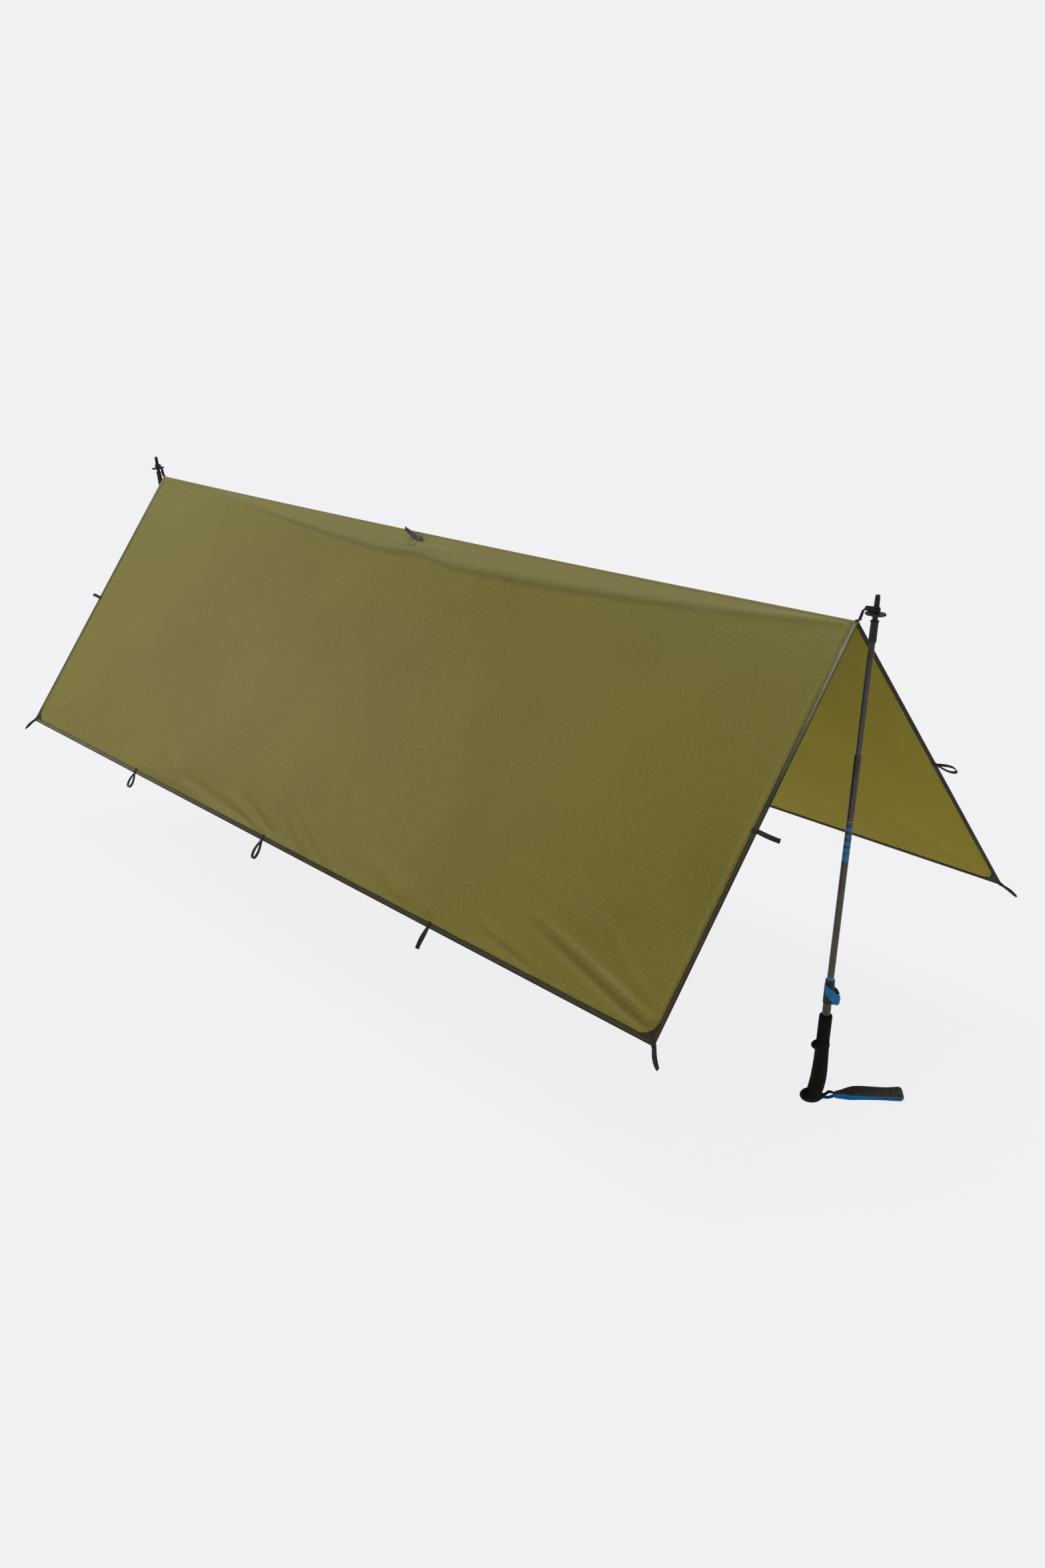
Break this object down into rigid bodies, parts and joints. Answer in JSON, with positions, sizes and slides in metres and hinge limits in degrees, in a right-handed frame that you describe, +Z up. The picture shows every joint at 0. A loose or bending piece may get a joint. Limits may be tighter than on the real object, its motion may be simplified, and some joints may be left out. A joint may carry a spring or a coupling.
{
  "type": "camping tarp",
  "caption": "Rectangular tarp pitched as an open A-frame shelter on upturned telescoping trekking poles, with webbing tie-out loops along its hems, sides and corners",
  "frame": {"origin": "on the ground, under the middle of the ridge", "axes": "+X along the ridge to its near end, +Y to the back slope, +Z up"},
  "size_m": [3.233, 1.2082, 1.133],
  "materials": {
    "tarp_cloth": "olive silicone-coated ripstop nylon",
    "binding_tape": "dark olive woven tape",
    "webbing": "black flat webbing",
    "shaft_aluminium": "dark grey anodised",
    "moulded_nylon": "black moulded nylon",
    "blue_plastic": "blue moulded plastic",
    "steel": "plain steel",
    "foam": "black foam and soft rubber",
    "padded_strap": "black mesh over blue lining"
  },
  "bodies": {
    "ridge": {"ridge_seam": "binding_tape"},
    "front_slope": {"front_panel": "tarp_cloth", "front_binding": "binding_tape", "front_near_corner_patch": "binding_tape", "front_far_corner_patch": "binding_tape", "ridge_patch": "tarp_cloth", "ridge_middle_loop": "webbing"},
    "back_slope": {"back_panel": "tarp_cloth", "back_binding": "binding_tape", "back_near_corner_patch": "binding_tape", "back_far_corner_patch": "binding_tape"},
    "front_near_corner": {"front_near_corner_loop": "webbing"},
    "front_far_corner": {"front_far_corner_loop": "webbing"},
    "back_near_corner": {"back_near_corner_loop": "webbing"},
    "back_far_corner": {"back_far_corner_loop": "webbing"},
    "front_near_side": {"front_near_side_loop": "webbing"},
    "front_far_side": {"front_far_side_loop": "webbing"},
    "back_near_side": {"back_near_side_loop": "webbing"},
    "back_far_side": {"back_far_side_loop": "webbing"},
    "front_hem_near": {"front_hem_loop_near": "webbing"},
    "front_hem_middle": {"front_hem_loop_middle": "webbing"},
    "front_hem_far": {"front_hem_loop_far": "webbing"},
    "back_hem_near": {"back_hem_loop_near": "webbing"},
    "back_hem_middle": {"back_hem_loop_middle": "webbing"},
    "back_hem_far": {"back_hem_loop_far": "webbing"},
    "near_pole_lower": {"near_ridge_loop": "webbing", "near_pole_tip": "moulded_nylon", "near_pole_ferrule": "moulded_nylon", "near_pole_basket": "moulded_nylon", "near_pole_lower_shaft": "shaft_aluminium", "near_pole_lock_spindle": "steel"},
    "near_pole_sleeve": {"near_pole_lock_sleeve": "moulded_nylon"},
    "near_pole_cone": {"near_pole_lock_cone": "steel"},
    "near_pole_middle": {"near_pole_middle_shaft": "shaft_aluminium"},
    "near_pole_upper": {"near_pole_clamp": "moulded_nylon", "near_pole_lever_pin": "steel", "near_pole_upper_shaft": "shaft_aluminium", "near_pole_foam_sleeve": "foam", "near_pole_grip": "foam", "near_pole_strap_pin": "steel"},
    "near_pole_cam": {"near_pole_lever": "blue_plastic"},
    "near_pole_strap": {"near_pole_wrist_strap": "padded_strap"},
    "far_pole_lower": {"far_ridge_loop": "webbing", "far_pole_tip": "moulded_nylon", "far_pole_ferrule": "moulded_nylon", "far_pole_basket": "moulded_nylon", "far_pole_lower_shaft": "shaft_aluminium", "far_pole_lock_spindle": "steel"},
    "far_pole_sleeve": {"far_pole_lock_sleeve": "moulded_nylon"},
    "far_pole_cone": {"far_pole_lock_cone": "steel"},
    "far_pole_middle": {"far_pole_middle_shaft": "shaft_aluminium"},
    "far_pole_upper": {"far_pole_clamp": "moulded_nylon", "far_pole_lever_pin": "steel", "far_pole_upper_shaft": "shaft_aluminium", "far_pole_foam_sleeve": "foam", "far_pole_grip": "foam", "far_pole_strap_pin": "steel"},
    "far_pole_cam": {"far_pole_lever": "blue_plastic"},
    "far_pole_strap": {"far_pole_wrist_strap": "padded_strap"}
  },
  "joints": [
    {"name": "front_fold", "type": "hinge", "parent": "ridge", "child": "front_slope", "pos_m": [0, 0, 1.07], "axis": [-1, 0, 0], "range_deg": [-25, 50]},
    {"name": "back_fold", "type": "hinge", "parent": "ridge", "child": "back_slope", "pos_m": [0, 0, 1.07], "axis": [1, 0, 0], "range_deg": [-25, 50]},
    {"name": "front_near_corner_bend", "type": "hinge", "parent": "front_slope", "child": "front_near_corner", "pos_m": [1.50127, -0.56977, 0.3258], "axis": [-0.7071, -0.4299, -0.5614], "range_deg": [-75, 75], "stiffness_Nm_per_rad": 0.0045},
    {"name": "front_far_corner_bend", "type": "hinge", "parent": "front_slope", "child": "front_far_corner", "pos_m": [-1.50127, -0.56977, 0.3258], "axis": [-0.7071, 0.4299, 0.5614], "range_deg": [-75, 75], "stiffness_Nm_per_rad": 0.0045},
    {"name": "back_near_corner_bend", "type": "hinge", "parent": "back_slope", "child": "back_near_corner", "pos_m": [1.50127, 0.56977, 0.3258], "axis": [0.7071, -0.4299, 0.5614], "range_deg": [-75, 75], "stiffness_Nm_per_rad": 0.0045},
    {"name": "back_far_corner_bend", "type": "hinge", "parent": "back_slope", "child": "back_far_corner", "pos_m": [-1.50127, 0.56977, 0.3258], "axis": [0.7071, 0.4299, -0.5614], "range_deg": [-75, 75], "stiffness_Nm_per_rad": 0.0045},
    {"name": "front_near_side_bend", "type": "hinge", "parent": "front_slope", "child": "front_near_side", "pos_m": [1.5018, -0.2845, 0.6984], "axis": [0, 0.6079, 0.794], "range_deg": [-75, 75], "stiffness_Nm_per_rad": 0.0045},
    {"name": "front_far_side_bend", "type": "hinge", "parent": "front_slope", "child": "front_far_side", "pos_m": [-1.5018, -0.2845, 0.6984], "axis": [0, 0.6079, 0.794], "range_deg": [-75, 75], "stiffness_Nm_per_rad": 0.0045},
    {"name": "back_near_side_bend", "type": "hinge", "parent": "back_slope", "child": "back_near_side", "pos_m": [1.5018, 0.2845, 0.6984], "axis": [0, -0.6079, 0.794], "range_deg": [-75, 75], "stiffness_Nm_per_rad": 0.0045},
    {"name": "back_far_side_bend", "type": "hinge", "parent": "back_slope", "child": "back_far_side", "pos_m": [-1.5018, 0.2845, 0.6984], "axis": [0, -0.6079, 0.794], "range_deg": [-75, 75], "stiffness_Nm_per_rad": 0.0045},
    {"name": "front_hem_near_bend", "type": "hinge", "parent": "front_slope", "child": "front_hem_near", "pos_m": [0.75, -0.57009, 0.32538], "axis": [1, 0, 0], "range_deg": [-75, 75], "stiffness_Nm_per_rad": 0.0045},
    {"name": "front_hem_middle_bend", "type": "hinge", "parent": "front_slope", "child": "front_hem_middle", "pos_m": [0, -0.57009, 0.32538], "axis": [1, 0, 0], "range_deg": [-75, 75], "stiffness_Nm_per_rad": 0.0045},
    {"name": "front_hem_far_bend", "type": "hinge", "parent": "front_slope", "child": "front_hem_far", "pos_m": [-0.75, -0.57009, 0.32538], "axis": [1, 0, 0], "range_deg": [-75, 75], "stiffness_Nm_per_rad": 0.0045},
    {"name": "back_hem_near_bend", "type": "hinge", "parent": "back_slope", "child": "back_hem_near", "pos_m": [0.75, 0.57009, 0.32538], "axis": [1, 0, 0], "range_deg": [-75, 75], "stiffness_Nm_per_rad": 0.0045},
    {"name": "back_hem_middle_bend", "type": "hinge", "parent": "back_slope", "child": "back_hem_middle", "pos_m": [0, 0.57009, 0.32538], "axis": [1, 0, 0], "range_deg": [-75, 75], "stiffness_Nm_per_rad": 0.0045},
    {"name": "back_hem_far_bend", "type": "hinge", "parent": "back_slope", "child": "back_hem_far", "pos_m": [-0.75, 0.57009, 0.32538], "axis": [1, 0, 0], "range_deg": [-75, 75], "stiffness_Nm_per_rad": 0.0045},
    {"name": "near_pole_lean", "type": "hinge", "parent": "ridge", "child": "near_pole_lower", "pos_m": [1.5018, 0, 1.07], "axis": [0, -1, 0], "range_deg": [-3, 10]},
    {"name": "near_lock_twist", "type": "hinge", "parent": "near_pole_lower", "child": "near_pole_sleeve", "pos_m": [1.489, -0.07, 0], "axis": [0.0493, 0.0616, 0.9969], "range_deg": [0, 150]},
    {"name": "near_lock_cone_travel", "type": "slide", "parent": "near_pole_sleeve", "child": "near_pole_cone", "axis": [0.0493, 0.0616, 0.9969], "range_m": [-0.0004, 0]},
    {"name": "near_lower_slide", "type": "slide", "parent": "near_pole_sleeve", "child": "near_pole_middle", "axis": [0.0493, 0.0616, 0.9969], "range_m": [0, 0.2]},
    {"name": "near_upper_slide", "type": "slide", "parent": "near_pole_middle", "child": "near_pole_upper", "axis": [0.0493, 0.0616, 0.9969], "range_m": [0, 0.16]},
    {"name": "near_lever_open", "type": "hinge", "parent": "near_pole_upper", "child": "near_pole_cam", "pos_m": [1.51254, -0.0405, 0.25131], "axis": [0.0493, 0.0616, 0.9969], "range_deg": [0, 130]},
    {"name": "near_strap_swing", "type": "hinge", "parent": "near_pole_upper", "child": "near_pole_strap", "pos_m": [1.49523, -0.06217, 0.0102], "axis": [0.7826, -0.6225, 0], "range_deg": [0, 45]},
    {"name": "far_pole_lean", "type": "hinge", "parent": "ridge", "child": "far_pole_lower", "pos_m": [-1.5018, 0, 1.07], "axis": [0, 1, 0], "range_deg": [-3, 10]},
    {"name": "far_lock_twist", "type": "hinge", "parent": "far_pole_lower", "child": "far_pole_sleeve", "pos_m": [-1.489, 0.07, 0], "axis": [-0.0493, -0.0616, 0.9969], "range_deg": [0, 150]},
    {"name": "far_lock_cone_travel", "type": "slide", "parent": "far_pole_sleeve", "child": "far_pole_cone", "axis": [-0.0493, -0.0616, 0.9969], "range_m": [-0.0004, 0]},
    {"name": "far_lower_slide", "type": "slide", "parent": "far_pole_sleeve", "child": "far_pole_middle", "axis": [-0.0493, -0.0616, 0.9969], "range_m": [0, 0.2]},
    {"name": "far_upper_slide", "type": "slide", "parent": "far_pole_middle", "child": "far_pole_upper", "axis": [-0.0493, -0.0616, 0.9969], "range_m": [0, 0.16]},
    {"name": "far_lever_open", "type": "hinge", "parent": "far_pole_upper", "child": "far_pole_cam", "pos_m": [-1.51254, 0.0405, 0.25131], "axis": [-0.0493, -0.0616, 0.9969], "range_deg": [0, 130]},
    {"name": "far_strap_swing", "type": "hinge", "parent": "far_pole_upper", "child": "far_pole_strap", "pos_m": [-1.49523, 0.06217, 0.0102], "axis": [-0.7826, 0.6225, 0], "range_deg": [0, 45]}
  ],
  "couplings": [
    {"joint": "near_lock_cone_travel", "follows": "near_lock_twist", "m_per_rad": -0.00012732},
    {"joint": "far_lock_cone_travel", "follows": "far_lock_twist", "m_per_rad": -0.00012732}
  ]
}
